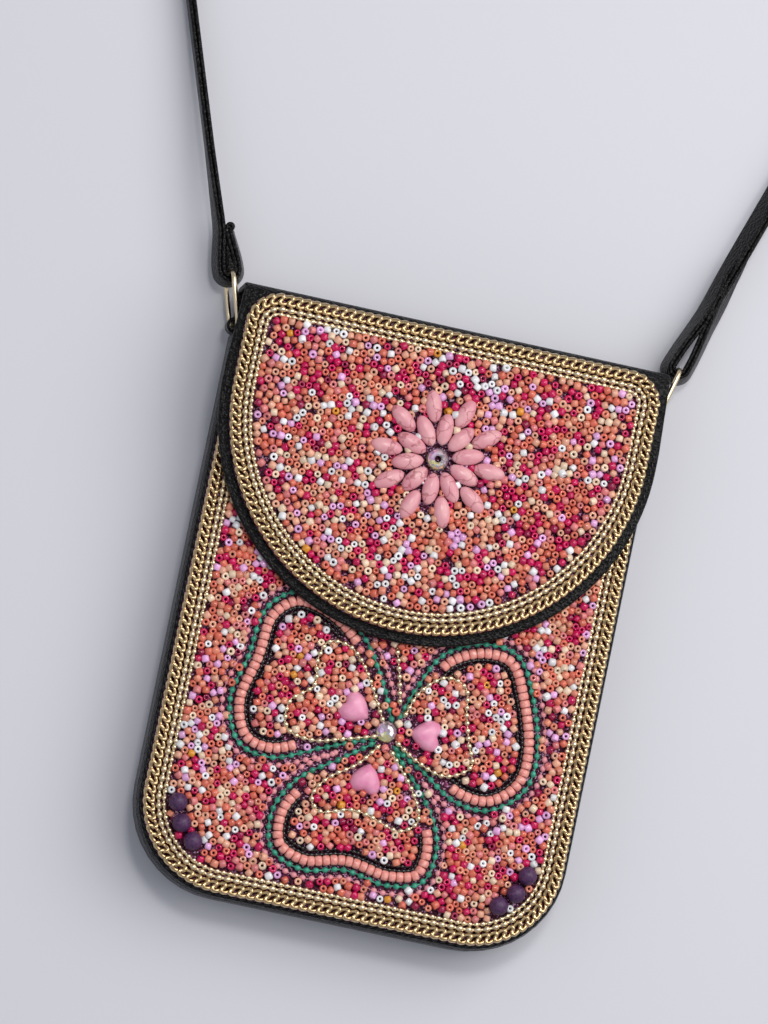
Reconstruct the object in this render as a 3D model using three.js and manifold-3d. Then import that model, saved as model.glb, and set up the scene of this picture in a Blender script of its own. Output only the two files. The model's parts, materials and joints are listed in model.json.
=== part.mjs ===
// Beaded crossbody bag lying on its back. Millimetres.
// +X is the bag's right, +Y runs to the flap's fold and the strap, +Z is up, out of the bag's front.
// The origin is the middle of the back panel's outer face.
import * as THREE from 'three';
import Module from 'manifold-3d';
import { mergeVertices } from 'three/addons/utils/BufferGeometryUtils.js';

const wasm = await Module();
wasm.setup();

// Driving dimensions of the pouch
const PANEL_WIDTH = 138;
const BAG_HEIGHT = 192;
const CORNER_RADIUS = 30;
const PANEL_THICKNESS = 2;
const POUCH_DEPTH = 20;
const GUSSET_WALL = 1.6;
const GUSSET_BULGE = 0.6;
const GUSSET_TOP = 79.5;
const BACK_TOP = 89.7;
const FRONT_TOP = 93.4;
const GROUND_THICKNESS = 1;
const CLEARANCE = 0.3;

// Driving dimensions of the flap
const FLAP_WIDTH = 141;
const FLAP_FOLD_WIDTH = 138.4;
const FLAP_LENGTH = 102;
const FLAP_SHOULDER = 26;
const FLAP_LEATHER = 1.8;
const FLAP_BACK_END = 90;
const FOLD_RADIUS = 4;

// Sewn-on chains and bead rows: widths across the row and heights off the cloth
const CURB = { width: 3.6, height: 1.7 };
const BALL_OUTER = 1.8;
const BALL_INNER = 1.4;
const FRONT_RIM = 1.65;
const FLAP_RIM = 3.8;
const FLAP_TOP_RIM = 2.4;
const GROUND_MARGIN = 0.5;
const FLAP_CHAIN_CORNER = 10;
const CHAIN_MEETING_GAP = 0.4;
const GREEN_CHAIN = 1.9;
const CORAL_ROW = 2.8;
const CORAL_INSET = 2.9;

// Flower on the flap and shamrock on the front
const FLOWER = { x: 1.2, y: 53.2 };
const PETAL = { length: 10.2, width: 5.2, height: 3.8, sides: 10 };
// Width of a petal as a share of its widest, at shares of its half length from the middle
const PETAL_WIDTHS = [
  { along: -1, width: 0 },
  { along: -0.75, width: 0.6 },
  { along: -0.3, width: 1 },
  { along: 0.3, width: 1 },
  { along: 0.75, width: 0.6 },
  { along: 1, width: 0 },
];
const PETALS_PER_RING = 10;
const PETAL_RINGS = [
  { name: 'inner', radius: 9.7, first: 16 },
  { name: 'outer', radius: 16.8, first: 34 },
];
const SHAMROCK = { x: 3.5, y: -34.1 };
// Each leaf: x and y of the points that its green chain passes, counter-clockwise, where its coral row
// begins and ends as mm from the shamrock's middle, and its heart's place and line in degrees
const LEAVES = [
  {
    name: 'left',
    outline: [
      [5, -31], [-1, -18.5], [-9, -6.5], [-20, 1.5], [-33, 3.5], [-42, -4.5],
      [-44, -19], [-47, -34], [-42, -46.5], [-30.5, -49.5], [-16, -43.5], [1, -36.5],
    ],
    coral: 28.8,
    heart: { x: -7.6, y: -29.1 },
    turn: 156,
  },
  {
    name: 'right',
    outline: [
      [6.5, -38], [17.5, -44], [29, -51], [41, -51.5], [50.5, -43], [52, -30],
      [47, -13.5], [40, -2], [28, -0.5], [16.5, -6.5], [10.5, -18], [6.5, -29.5],
    ],
    coral: 26.5,
    heart: { x: 16.0, y: -32.6 },
    turn: 1,
  },
  {
    name: 'bottom',
    outline: [
      [1, -38], [-9, -45.5], [-20, -53.5], [-26.5, -64.5], [-25, -77], [-14, -82],
      [-0.5, -79.5], [13, -81.5], [24.5, -78], [26.5, -65.5], [20.5, -53.5], [7.5, -39.5],
    ],
    coral: 33.3,
    heart: { x: 0.3, y: -49.9 },
    turn: -94,
  },
];
const GREEN_FROM = 13;
const HEART = { width: 10, height: 9.4, thick: 4.2, puff: 1.4 };
const CORNER_BEAD = { diameter: 6, count: 3, first: 11, step: 21.5 };

// Rings, their leather tabs and the strap
const RING = { length: 17.2, width: 11.2, wire: 1.6, corner: 3, z: 9, play: 0.5 };
const RING_FOOT = { x: 68.9, y: 82.8 };
const TAB = { width: 6.8, thick: 1.4, bottom: 66, eye: 2.7, hole: 1.7 };
const STRAP = { width: 8, thick: 2.6, edge: 0.4, length: 1200, lower: 110, tipFrom: 10, tipTo: 70 };
// Each end of the strap: lean off the bag's upright, fold radius, tail length, where the loop closes,
// the ring's lean and turn, and how far the run tips over. Both tails lie on the +X side of the run.
const STRAP_ENDS = [
  { name: 'left', side: -1, lean: 18.5, fold: 3.2, tail: 16, closing: 16, ringLean: 17, ringTurn: 8, tip: 0 },
  { name: 'right', side: 1, lean: 19, fold: 3.2, tail: 50, closing: 40, ringLean: 14, ringTurn: 5, tip: 20 },
];

// Levels above the floor
const FRONT_FACE = POUCH_DEPTH;
const FRONT_GROUND_Z = FRONT_FACE + CLEARANCE;
const FRONT_SEAT = FRONT_GROUND_Z + GROUND_THICKNESS + CLEARANCE;
const FLAP_UNDER = FRONT_SEAT + CORAL_ROW + CLEARANCE;
const FLAP_GROUND_Z = FLAP_UNDER + FLAP_LEATHER + CLEARANCE;
const FLAP_SEAT = FLAP_GROUND_Z + GROUND_THICKNESS + CLEARANCE;

// Edges worked out from the sizes
const TOP = BAG_HEIGHT / 2;
const BOTTOM = -BAG_HEIGHT / 2;
const HALF_PANEL = PANEL_WIDTH / 2;
const HALF_FLAP = FLAP_WIDTH / 2;
const FLAP_ARC_Y = TOP - FLAP_LENGTH + HALF_FLAP;

const LEATHER = { color: 0x17181b, roughness: 0.55, metalness: 0 };
const GLITTER_CLOTH = { color: 0x4a1c3c, roughness: 0.8, metalness: 0 };
const PALE_GOLD = { color: 0xd9b98a, roughness: 0.25, metalness: 1 };
const GREEN_ENAMEL = { color: 0x1f7d68, roughness: 0.35, metalness: 0.3 };
const CORAL_GLASS = { color: 0xe98f80, roughness: 0.3, metalness: 0 };
const PINK_HOWLITE = { color: 0xec9aa6, roughness: 0.4, metalness: 0 };
const HEART_STONE = { color: 0xe88aa6, roughness: 0.3, metalness: 0 };
const CRYSTAL = { color: 0xd8d2dc, roughness: 0.05, metalness: 0 };
const PURPLE_BEAD = { color: 0x4b2f5c, roughness: 0.7, metalness: 0 };

const bag = new THREE.Group();

function addPiece(name, geometry, finish) {
  const piece = new THREE.Mesh(geometry, new THREE.MeshStandardMaterial(finish));
  piece.name = name;
  bag.add(piece);
  return piece;
}

const radians = THREE.MathUtils.degToRad;

function polar(reach, degrees) {
  return new THREE.Vector2(reach * Math.cos(radians(degrees)), reach * Math.sin(radians(degrees)));
}

// Points on an arc, both ends included
function arc(cx, cy, radius, from, to, steps) {
  const points = [];
  for (let i = 0; i <= steps; i += 1) {
    const at = polar(radius, from + ((to - from) * i) / steps);
    points.push(new THREE.Vector2(cx + at.x, cy + at.y));
  }
  return points;
}

// A run of points that a section follows, with one step from each point to the next
class Run extends THREE.Curve {
  constructor(points) {
    super();
    this.points = points;
  }

  getPoint(t, target = new THREE.Vector3()) {
    const last = this.points.length - 1;
    const place = Math.min(Math.max(t, 0), 1) * last;
    const i = Math.min(Math.floor(place), last - 1);
    return target.lerpVectors(this.points[i], this.points[i + 1], place - i);
  }

  getPointAt(u, target) {
    return this.getPoint(u, target);
  }

  getTangentAt(u, target) {
    return this.getTangent(u, target);
  }
}

// Sweeps a section along flat points at height z. The points run anticlockwise seen from above, so a
// section's out is away from the middle of the bag.
function sweep(points, z, section) {
  const path = new Run(points.map((p) => new THREE.Vector3(p.x, p.y, p.z ?? z)));
  const shape = new THREE.Shape(section.map((s) => new THREE.Vector2(-s.up, -s.out)));
  return new THREE.ExtrudeGeometry(shape, { steps: points.length - 1, extrudePath: path });
}

function roundSection(width, height, sides = 8) {
  const section = [];
  for (let i = 0; i < sides; i += 1) {
    const at = polar(1, (360 * (i + 0.5)) / sides);
    section.push({ out: (at.x * width) / 2, up: height / 2 + (at.y * height) / 2 });
  }
  return section;
}

// Flat bar with cut corners, standing on its seat
function barSection(width, height, cut) {
  const half = width / 2;
  return [
    { out: -half, up: cut }, { out: cut - half, up: 0 },
    { out: half - cut, up: 0 }, { out: half, up: cut },
    { out: half, up: height - cut }, { out: half - cut, up: height },
    { out: cut - half, up: height }, { out: -half, up: height - cut },
  ];
}

// Two ball chains side by side: the larger on the outside, joined along a valley
function ballPairSection() {
  const half = (BALL_OUTER + BALL_INNER) / 2;
  const valley = half - BALL_OUTER;
  return [
    { out: -half, up: 0.3 * BALL_INNER }, { out: 0.3 - half, up: 0 },
    { out: half - 0.4, up: 0 }, { out: half, up: 0.3 * BALL_OUTER },
    { out: half, up: 0.7 * BALL_OUTER }, { out: half - 0.5, up: BALL_OUTER },
    { out: valley + 0.5, up: BALL_OUTER }, { out: valley, up: 0.6 * BALL_OUTER },
    { out: valley - 0.4, up: BALL_INNER }, { out: 0.4 - half, up: BALL_INNER },
    { out: -half, up: 0.7 * BALL_INNER },
  ];
}

// The panel's U, from the top of the left side round the bottom to the top of the right side
function panelRun(inset, top, arcSteps) {
  const half = HALF_PANEL - inset;
  const low = BOTTOM + CORNER_RADIUS;
  const cornerX = HALF_PANEL - CORNER_RADIUS;
  const radius = CORNER_RADIUS - inset;
  return [
    new THREE.Vector2(-half, top),
    ...arc(-cornerX, low, radius, 180, 270, arcSteps),
    ...arc(cornerX, low, radius, 270, 360, arcSteps),
    new THREE.Vector2(half, top),
  ];
}

// The flap's loop inside its rim, from the middle of the top round by the left and back
function flapRun(inset, topInset, corner, arcSteps) {
  const half = HALF_FLAP - inset;
  const top = TOP - topInset;
  const gap = CHAIN_MEETING_GAP / 2;
  return [
    new THREE.Vector2(-gap, top),
    ...arc(corner - half, top - corner, corner, 90, 180, 4),
    ...arc(0, FLAP_ARC_Y, half, 180, 360, arcSteps),
    ...arc(half - corner, top - corner, corner, 0, 90, 4),
    new THREE.Vector2(gap, top),
  ];
}

function plate(points, z, thickness) {
  const geometry = new THREE.ExtrudeGeometry(new THREE.Shape(points), {
    depth: thickness, bevelEnabled: false,
  });
  return geometry.translate(0, 0, z);
}

function toSolid(geometry) {
  const bare = geometry.clone();
  bare.deleteAttribute('normal');
  bare.deleteAttribute('uv');
  const merged = mergeVertices(bare, 1e-4);
  const mesh = new wasm.Mesh({
    numProp: 3,
    vertProperties: new Float32Array(merged.attributes.position.array),
    triVerts: new Uint32Array(merged.index.array),
  });
  return new wasm.Manifold(mesh);
}

function toGeometry(solid) {
  const mesh = solid.getMesh();
  const geometry = new THREE.BufferGeometry();
  geometry.setAttribute('position', new THREE.BufferAttribute(mesh.vertProperties, 3));
  geometry.setIndex(new THREE.BufferAttribute(mesh.triVerts, 1));
  return geometry;
}

// Pouch: two stiff panels with a hollow gusset between them, open at the top
function addPouch() {
  const gussetHeight = POUCH_DEPTH - 2 * PANEL_THICKNESS - 2 * CLEARANCE;
  const shoulder = 2;
  const wall = [
    { out: -GUSSET_WALL, up: 0 }, { out: 0, up: 0 },
    { out: GUSSET_BULGE, up: shoulder }, { out: GUSSET_BULGE, up: gussetHeight - shoulder },
    { out: 0, up: gussetHeight }, { out: -GUSSET_WALL, up: gussetHeight },
    { out: GUSSET_BULGE - GUSSET_WALL, up: gussetHeight - shoulder },
    { out: GUSSET_BULGE - GUSSET_WALL, up: shoulder },
  ];
  addPiece('back_panel', plate(panelRun(0, BACK_TOP, 8), 0, PANEL_THICKNESS), LEATHER);
  addPiece('gusset', sweep(panelRun(0, GUSSET_TOP, 10), PANEL_THICKNESS + CLEARANCE, wall), LEATHER);
  const frontZ = FRONT_FACE - PANEL_THICKNESS;
  addPiece('front_panel', plate(panelRun(0, FRONT_TOP, 8), frontZ, PANEL_THICKNESS), LEATHER);
  const cloth = panelRun(FRONT_RIM - GROUND_MARGIN, FRONT_TOP - FRONT_RIM, 8);
  addPiece('front_ground', plate(cloth, FRONT_GROUND_Z, GROUND_THICKNESS), GLITTER_CLOTH);
}

// Flap: one leather sheet bent over the top fold, cut to a D
function addFlap() {
  const upper = FLAP_UNDER + FLAP_LEATHER;
  const bendY = TOP - FOLD_RADIUS;
  const inner = FOLD_RADIUS - FLAP_LEATHER;
  const low = TOP - FLAP_LENGTH;
  const profile = [
    new THREE.Vector2(FLAP_BACK_END, 0),
    ...arc(bendY, FOLD_RADIUS, FOLD_RADIUS, -90, 0, 4),
    ...arc(bendY, upper - FOLD_RADIUS, FOLD_RADIUS, 0, 90, 4),
    new THREE.Vector2(low, upper),
    new THREE.Vector2(low, FLAP_UNDER),
    ...arc(bendY, upper - FOLD_RADIUS, inner, 90, 0, 4),
    ...arc(bendY, FOLD_RADIUS, inner, 0, -90, 4),
    new THREE.Vector2(FLAP_BACK_END, FLAP_LEATHER),
  ];
  const sheet = new THREE.ExtrudeGeometry(new THREE.Shape(profile), {
    depth: FLAP_WIDTH + 2, bevelEnabled: false,
  });
  const acrossTheBag = new THREE.Matrix4().makeBasis(
    new THREE.Vector3(0, 1, 0), new THREE.Vector3(0, 0, 1), new THREE.Vector3(1, 0, 0),
  );
  sheet.applyMatrix4(acrossTheBag).translate(-HALF_FLAP - 1, 0, 0);
  const outline = [
    new THREE.Vector2(FLAP_FOLD_WIDTH / 2, TOP + 1),
    new THREE.Vector2(-FLAP_FOLD_WIDTH / 2, TOP + 1),
    new THREE.Vector2(-HALF_FLAP, TOP - FLAP_SHOULDER),
    ...arc(0, FLAP_ARC_Y, HALF_FLAP, 180, 360, 28),
    new THREE.Vector2(HALF_FLAP, TOP - FLAP_SHOULDER),
  ];
  const cutter = plate(outline, -1, upper + 2);
  addPiece('flap', toGeometry(toSolid(sheet).intersect(toSolid(cutter))), LEATHER);

  const rim = FLAP_RIM - GROUND_MARGIN;
  const topRim = FLAP_TOP_RIM - GROUND_MARGIN;
  const cloth = flapRun(rim, topRim, FLAP_CHAIN_CORNER, 28).slice(1, -1);
  addPiece('flap_ground', plate(cloth, FLAP_GROUND_Z, GROUND_THICKNESS), GLITTER_CLOTH);
}

// Gold chains sewn round the edge of the front and of the flap
function addEdgeChains() {
  const curb = barSection(CURB.width, CURB.height, 0.5);
  const balls = ballPairSection();
  const toCurb = CURB.width / 2;
  const toBalls = CURB.width + CLEARANCE + (BALL_OUTER + BALL_INNER) / 2;
  const frontTop = FRONT_TOP - FRONT_RIM;
  const frontCurb = panelRun(FRONT_RIM + toCurb, frontTop, 9);
  const frontBalls = panelRun(FRONT_RIM + toBalls, frontTop, 9);
  addPiece('front_curb_chain', sweep(frontCurb, FRONT_SEAT, curb), PALE_GOLD);
  addPiece('front_ball_chains', sweep(frontBalls, FRONT_SEAT, balls), PALE_GOLD);
  const flapCurb = flapRun(
    FLAP_RIM + toCurb, FLAP_TOP_RIM + toCurb, FLAP_CHAIN_CORNER - toCurb, 26,
  );
  const flapBalls = flapRun(
    FLAP_RIM + toBalls, FLAP_TOP_RIM + toBalls, FLAP_CHAIN_CORNER - toBalls, 26,
  );
  addPiece('flap_curb_chain', sweep(flapCurb, FLAP_SEAT, curb), PALE_GOLD);
  addPiece('flap_ball_chains', sweep(flapBalls, FLAP_SEAT, balls), PALE_GOLD);
}

// Flower: two rings of marquise stones round a ring-shaped crystal
function petalShape() {
  const profile = PETAL_WIDTHS.map(
    (row) => new THREE.Vector2((row.width * PETAL.width) / 2, (row.along * PETAL.length) / 2),
  );
  const stone = new THREE.LatheGeometry(profile, PETAL.sides);
  return stone.rotateZ(-Math.PI / 2).scale(1, 1, PETAL.height / PETAL.width);
}

function addFlower() {
  for (const ring of PETAL_RINGS) {
    for (let i = 0; i < PETALS_PER_RING; i += 1) {
      const turn = ring.first + (360 * i) / PETALS_PER_RING;
      const at = polar(ring.radius, turn);
      const name = `petal_${ring.name}_${String(i + 1).padStart(2, '0')}`;
      const petal = addPiece(name, petalShape(), PINK_HOWLITE);
      petal.position.set(FLOWER.x + at.x, FLOWER.y + at.y, FLAP_SEAT + PETAL.height / 2);
      petal.rotation.z = radians(turn);
    }
  }
  const cut = [[1.2, 0], [3.0, 0], [3.5, 1.2], [2.3, 2.8], [1.2, 2.8], [1.2, 0]];
  const stone = new THREE.LatheGeometry(cut.map(([r, z]) => new THREE.Vector2(r, z)), 12);
  const crystal = addPiece('flower_crystal', stone.rotateX(Math.PI / 2), CRYSTAL);
  crystal.position.set(FLOWER.x, FLOWER.y, FLAP_SEAT);
}

// Shamrock: three heart-shaped leaves, each with a green chain, a coral row and a heart stone
function leafCurve(leaf) {
  const points = leaf.outline.map(([x, y]) => new THREE.Vector3(x, y, 0));
  return new THREE.CatmullRomCurve3(points, false, 'centripetal');
}

// Points of a row set in from the leaf's outline, no nearer the leaf's point than from
function leafRow(leaf, inset, from, steps) {
  const curve = leafCurve(leaf);
  const fine = 240;
  const kept = [];
  for (let i = 0; i <= fine; i += 1) {
    const at = curve.getPointAt(i / fine);
    const along = curve.getTangentAt(i / fine);
    const point = new THREE.Vector2(at.x - along.y * inset, at.y + along.x * inset);
    if (Math.hypot(point.x - SHAMROCK.x, point.y - SHAMROCK.y) >= from) {
      kept.push(point);
    }
  }
  const row = [];
  for (let i = 0; i <= steps; i += 1) {
    row.push(kept[Math.round(((kept.length - 1) * i) / steps)]);
  }
  return row;
}

function heartShape() {
  const w = HEART.width / 2;
  const h = HEART.height;
  const shape = new THREE.Shape();
  shape.moveTo(0, -h / 2);
  shape.bezierCurveTo(-0.3 * w, -0.28 * h, -w, -0.1 * h, -w, 0.2 * h);
  shape.bezierCurveTo(-w, 0.5 * h, -0.3 * w, 0.62 * h, 0, 0.34 * h);
  shape.bezierCurveTo(0.3 * w, 0.62 * h, w, 0.5 * h, w, 0.2 * h);
  shape.bezierCurveTo(w, -0.1 * h, 0.3 * w, -0.28 * h, 0, -h / 2);
  return new THREE.ExtrudeGeometry(shape, {
    depth: HEART.thick - 2 * HEART.puff,
    curveSegments: 5,
    bevelThickness: HEART.puff,
    bevelSize: HEART.puff,
    bevelOffset: -HEART.puff,
    bevelSegments: 2,
  }).translate(0, 0, HEART.puff);
}

function addShamrock() {
  for (const leaf of LEAVES) {
    const green = leafRow(leaf, 0, GREEN_FROM, 36);
    const chain = roundSection(GREEN_CHAIN, GREEN_CHAIN);
    addPiece(`leaf_green_chain_${leaf.name}`, sweep(green, FRONT_SEAT, chain), GREEN_ENAMEL);
    const coral = leafRow(leaf, CORAL_INSET, leaf.coral, 26);
    const beads = roundSection(CORAL_ROW, CORAL_ROW);
    addPiece(`leaf_coral_row_${leaf.name}`, sweep(coral, FRONT_SEAT, beads), CORAL_GLASS);
    const heart = addPiece(`leaf_heart_${leaf.name}`, heartShape(), HEART_STONE);
    heart.position.set(leaf.heart.x, leaf.heart.y, FRONT_SEAT);
    heart.rotation.z = radians(leaf.turn - 90);
  }
  const cut = [[0, 0], [2.8, 0], [3.5, 1.2], [2.1, 3], [0, 3]];
  const stone = new THREE.LatheGeometry(cut.map(([r, z]) => new THREE.Vector2(r, z)), 12);
  const crystal = addPiece('leaf_crystal', stone.rotateX(Math.PI / 2), CRYSTAL);
  crystal.position.set(SHAMROCK.x, SHAMROCK.y, FRONT_SEAT);
}

// Round beads nested against the chains in the two lower corners
function addCornerBeads() {
  const chains = FRONT_RIM + CURB.width + CLEARANCE + BALL_OUTER + BALL_INNER;
  const radius = CORNER_BEAD.diameter / 2;
  const reach = CORNER_RADIUS - chains - CLEARANCE - radius;
  for (const [name, side] of [['left', -1], ['right', 1]]) {
    for (let i = 0; i < CORNER_BEAD.count; i += 1) {
      const at = polar(reach, -(CORNER_BEAD.first + CORNER_BEAD.step * i));
      const ball = new THREE.SphereGeometry(radius, 10, 7);
      const bead = addPiece(`corner_bead_${name}_${i + 1}`, ball.rotateX(Math.PI / 2), PURPLE_BEAD);
      const cornerX = HALF_PANEL - CORNER_RADIUS;
      bead.position.set(side * (cornerX + at.x), BOTTOM + CORNER_RADIUS + at.y, FRONT_SEAT + radius);
    }
  }
}

// Wire loops held by leather tabs at the top of the gusset
function ringShape() {
  const halfLength = RING.length / 2;
  const halfWidth = RING.width / 2;
  const corner = RING.corner;
  const turns = [[1, 1, 0], [-1, 1, 90], [-1, -1, 180], [1, -1, 270]];
  const points = turns.flatMap(([sx, sy, from]) => {
    const cx = sx * (halfWidth - corner);
    return arc(cx, sy * (halfLength - corner), corner, from, from + 90, 3);
  });
  const flat = points.map((p) => new THREE.Vector3(0, p.y, p.x));
  const loop = new THREE.CatmullRomCurve3(flat, true, 'centripetal');
  return new THREE.TubeGeometry(loop, 28, RING.wire / 2, 6, true);
}

function addRings() {
  for (const { name, side, ringLean, ringTurn } of STRAP_ENDS) {
    const lean = radians(ringLean);
    const ring = addPiece(`ring_${name}`, ringShape(), PALE_GOLD);
    ring.position.set(
      side * (RING_FOOT.x + (Math.sin(lean) * RING.length) / 2),
      RING_FOOT.y + (Math.cos(lean) * RING.length) / 2,
      RING.z,
    );
    ring.rotation.set(0, radians(ringTurn), -side * lean, 'ZYX');

    const half = TAB.width / 2;
    const tube = [
      [TAB.hole, -half], [TAB.eye, -half], [TAB.eye, half], [TAB.hole, half], [TAB.hole, -half],
    ];
    const eye = new THREE.LatheGeometry(tube.map(([r, z]) => new THREE.Vector2(r, z)), 12);
    eye.rotateX(Math.PI / 2).translate(side * RING_FOOT.x, RING_FOOT.y, RING.z);
    const wallX = HALF_PANEL + GUSSET_BULGE - GUSSET_WALL - CLEARANCE - TAB.thick / 2;
    const height = RING_FOOT.y - TAB.bottom;
    const leaf = new THREE.BoxGeometry(TAB.thick, height, TAB.width);
    leaf.translate(side * wallX, TAB.bottom + height / 2, RING.z);
    addPiece(`ring_tab_${name}`, toGeometry(toSolid(eye).add(toSolid(leaf))), LEATHER);
  }
}

// Height of the strap's middle where its lower edge lies on the floor
function strapHeight(tip) {
  const turn = radians(tip);
  return (STRAP.width / 2) * Math.cos(turn) + (STRAP.thick / 2) * Math.sin(turn);
}

// Strap: a tail sewn back on itself at each ring, and one plain loop between them
function strapEnd(end) {
  const along = polar(1, 90 - end.side * end.lean);
  const across = new THREE.Vector2(along.y, -along.x);
  const spacing = (STRAP.thick + CLEARANCE) / 2;
  const fold = polar(RING.length, 90 - end.side * end.ringLean);
  fold.add(new THREE.Vector2(end.side * RING_FOOT.x, RING_FOOT.y));
  fold.addScaledVector(along, end.fold - (STRAP.thick + RING.wire) / 2 - RING.play);
  const place = (a, c) => {
    const lifted = 1 - THREE.MathUtils.smoothstep(a, 0, STRAP.lower);
    const tip = end.tip * THREE.MathUtils.smoothstep(a, STRAP.tipFrom, STRAP.tipTo);
    const at = new THREE.Vector3(
      fold.x + along.x * a + across.x * c, fold.y + along.y * a + across.y * c,
      THREE.MathUtils.lerp(strapHeight(tip), RING.z, lifted),
    );
    return { at, tip };
  };
  const swell = (a) => {
    const part = Math.min(a / end.closing, 1);
    return spacing + ((end.fold - spacing) * (1 + Math.cos(Math.PI * part))) / 2;
  };
  const points = [];
  const plySteps = 6;
  for (let i = plySteps; i > 0; i -= 1) {
    const a = (end.tail * i) / plySteps;
    points.push(place(a, swell(a)));
  }
  for (const p of arc(0, 0, end.fold, 0, -180, 8)) {
    points.push(place(p.y, p.x));
  }
  for (let i = 1; i <= plySteps; i += 1) {
    const a = (end.tail * i) / plySteps;
    points.push(place(a, -swell(a)));
  }
  for (const part of [0.5, 0.75, 1]) {
    points.push(place(STRAP.lower * part, -spacing));
  }
  const origin = place(0, -spacing).at;
  return { points, origin: new THREE.Vector2(origin.x, origin.y), along };
}

// The loop that closes the strap: an arc that touches both straight runs
function strapArc(left, right) {
  const half = radians((STRAP_ENDS[0].lean + STRAP_ENDS[1].lean) / 2);
  const gap = right.origin.clone().sub(left.origin);
  const apex = (gap.x * right.along.y - gap.y * right.along.x) /
    (left.along.x * right.along.y - left.along.y * right.along.x);
  const meeting = left.origin.clone().addScaledVector(left.along, apex);
  const below = meeting.distanceTo(left.origin) + meeting.distanceTo(right.origin);
  const radius = (STRAP.length + below) / (2 / Math.tan(half) + Math.PI + 2 * half);
  const middle = left.along.clone().add(right.along).normalize();
  const centre = meeting.clone().addScaledVector(middle, radius / Math.sin(half));
  const from = 180 + STRAP_ENDS[0].lean;
  const to = -STRAP_ENDS[1].lean;
  const steps = 28;
  return arc(centre.x, centre.y, radius, from, to, steps).map((p, i) => {
    const tip = THREE.MathUtils.lerp(STRAP_ENDS[0].tip, STRAP_ENDS[1].tip, i / steps);
    return { at: new THREE.Vector3(p.x, p.y, strapHeight(tip)), tip };
  });
}

// Sweeps the strap's section along its stations, tipped over by each station's tip
function strapShape(stations, section) {
  const last = stations.length - 1;
  const upward = new THREE.Vector3(0, 0, 1);
  const corners = stations.flatMap(({ at, tip }, i) => {
    const before = stations[Math.max(i - 1, 0)].at;
    const along = stations[Math.min(i + 1, last)].at.clone().sub(before).normalize();
    const out = along.clone().cross(upward).normalize();
    const up = out.clone().cross(along);
    out.applyAxisAngle(along, radians(tip));
    up.applyAxisAngle(along, radians(tip));
    return section.map((s) => at.clone().addScaledVector(out, s.out).addScaledVector(up, s.up));
  });
  const sides = section.length;
  const faces = [];
  for (let k = 0; k < sides; k += 1) {
    const next = (k + 1) % sides;
    for (let i = 0; i < last; i += 1) {
      const near = i * sides;
      const far = near + sides;
      faces.push(near + k, far + k, far + next, near + k, far + next, near + next);
    }
    if (k > 1) {
      const end = last * sides;
      faces.push(0, k - 1, k, end, end + k, end + k - 1);
    }
  }
  return new THREE.BufferGeometry().setFromPoints(corners).setIndex(faces);
}

function addStrap() {
  const [left, right] = STRAP_ENDS.map(strapEnd);
  const stations = [...left.points, ...strapArc(left, right), ...right.points.reverse()];
  const section = barSection(STRAP.thick, STRAP.width, STRAP.edge);
  const centred = section.map((s) => ({ out: s.out, up: s.up - STRAP.width / 2 }));
  addPiece('strap', strapShape(stations, centred), LEATHER);
}

addPouch();
addFlap();
addEdgeChains();
addFlower();
addShamrock();
addCornerBeads();
addRings();
addStrap();

export default bag;
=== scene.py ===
import json
import math

import bpy
import numpy as np
from mathutils import Matrix, Vector

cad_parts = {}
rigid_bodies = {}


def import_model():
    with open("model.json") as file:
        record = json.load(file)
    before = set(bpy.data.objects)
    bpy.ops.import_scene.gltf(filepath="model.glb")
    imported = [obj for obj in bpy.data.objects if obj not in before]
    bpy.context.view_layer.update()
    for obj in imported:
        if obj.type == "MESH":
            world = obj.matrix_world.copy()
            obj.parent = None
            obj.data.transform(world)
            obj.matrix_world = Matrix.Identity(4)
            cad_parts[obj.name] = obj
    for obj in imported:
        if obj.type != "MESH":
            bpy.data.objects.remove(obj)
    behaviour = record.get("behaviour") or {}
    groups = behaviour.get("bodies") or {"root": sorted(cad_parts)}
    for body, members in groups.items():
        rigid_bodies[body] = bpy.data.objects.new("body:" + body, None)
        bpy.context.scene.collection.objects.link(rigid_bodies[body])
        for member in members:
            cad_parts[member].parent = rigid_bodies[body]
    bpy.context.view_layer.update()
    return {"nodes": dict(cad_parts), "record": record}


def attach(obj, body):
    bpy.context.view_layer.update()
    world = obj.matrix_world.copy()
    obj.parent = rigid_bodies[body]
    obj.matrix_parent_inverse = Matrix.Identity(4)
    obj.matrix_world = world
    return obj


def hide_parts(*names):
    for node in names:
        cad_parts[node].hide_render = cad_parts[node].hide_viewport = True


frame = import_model()

# Sizes of the pouch in millimetres, in the bag's own frame
MM = 0.001
HALF_PANEL = 69
TOP = 96
CORNER_RADIUS = 30
CORNER_X = HALF_PANEL - CORNER_RADIUS
LOW_CORNER_Y = CORNER_RADIUS - TOP
BACK_TOP = 89.7
FRONT_TOP = 93.4
PANEL_THICKNESS = 2
PANEL_EDGE = 0.8
PANEL_EDGE_ANGLE = 40
POUCH_DEPTH = 20

# Flap: a D of leather that is bent over the top of the pouch
FLAP_LENGTH = 102
HALF_FLAP = 70.5
FLAP_ARC_Y = TOP - FLAP_LENGTH + HALF_FLAP
FLAP_SHOULDER_Y = 70
FLAP_BACK_END = 90
FLAP_UNDER = 24.7
FLAP_LEATHER = 1.8
FLAP_FACE = FLAP_UNDER + FLAP_LEATHER
FLAP_EDGE = 0.7
FLAP_EDGE_ANGLE = 50
FOLD_RADIUS = 4
FOLD_Y = TOP - FOLD_RADIUS
FOLD_HALF = 69.4
FOLD_STEPS = 6

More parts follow.
